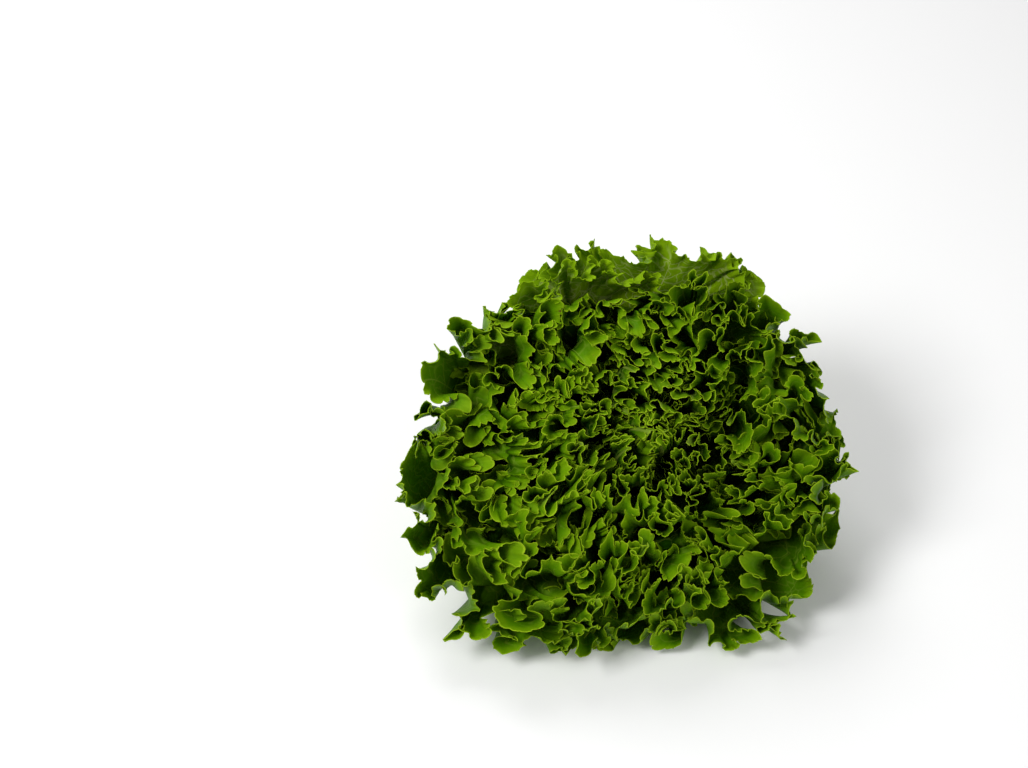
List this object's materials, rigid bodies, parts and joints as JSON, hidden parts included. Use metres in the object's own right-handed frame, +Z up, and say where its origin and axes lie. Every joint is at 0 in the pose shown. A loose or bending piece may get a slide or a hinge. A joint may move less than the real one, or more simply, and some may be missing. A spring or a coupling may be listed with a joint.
{
  "type": "green curly leaf lettuce head",
  "caption": "Whole head of green curly leaf lettuce lying on its side, its ruffled leaves nested in a spiral round a short cut stem.",
  "frame": {"origin": "centre of the bounding box in X and Y, on the ground that the head lies on", "axes": "+Z up; the open face of the head looks towards -Y and up, with its cut stem at the back, towards +Y; +X is to the right as the picture sees it"},
  "size_m": [0.3124, 0.2362, 0.1893],
  "materials": {
    "leaf": "fresh yellow-green leaf, soft waxy sheen",
    "heart_leaf": "paler young leaf, soft waxy sheen",
    "stem": "matt cream cut stem"
  },
  "bodies": {
    "root": {"stem": "stem", "leaf_01": "heart_leaf", "leaf_02": "heart_leaf", "leaf_03": "heart_leaf", "leaf_04": "heart_leaf", "leaf_05": "heart_leaf", "leaf_06": "heart_leaf", "leaf_07": "heart_leaf", "leaf_08": "heart_leaf", "leaf_09": "heart_leaf", "leaf_10": "heart_leaf", "leaf_11": "heart_leaf", "leaf_12": "heart_leaf", "leaf_13": "leaf", "leaf_14": "leaf", "leaf_15": "leaf", "leaf_16": "leaf", "leaf_17": "leaf", "leaf_18": "leaf", "leaf_19": "leaf", "leaf_20": "leaf", "leaf_21": "leaf", "leaf_22": "leaf", "leaf_23": "leaf", "leaf_24": "leaf", "leaf_25": "leaf", "leaf_26": "leaf", "leaf_27": "leaf", "leaf_28": "leaf", "leaf_29": "leaf", "leaf_30": "leaf", "leaf_31": "leaf", "leaf_32": "leaf", "leaf_33": "leaf", "leaf_34": "leaf", "leaf_35": "leaf", "leaf_36": "leaf", "leaf_37": "leaf", "leaf_38": "leaf", "leaf_39": "leaf"}
  },
  "joints": []
}
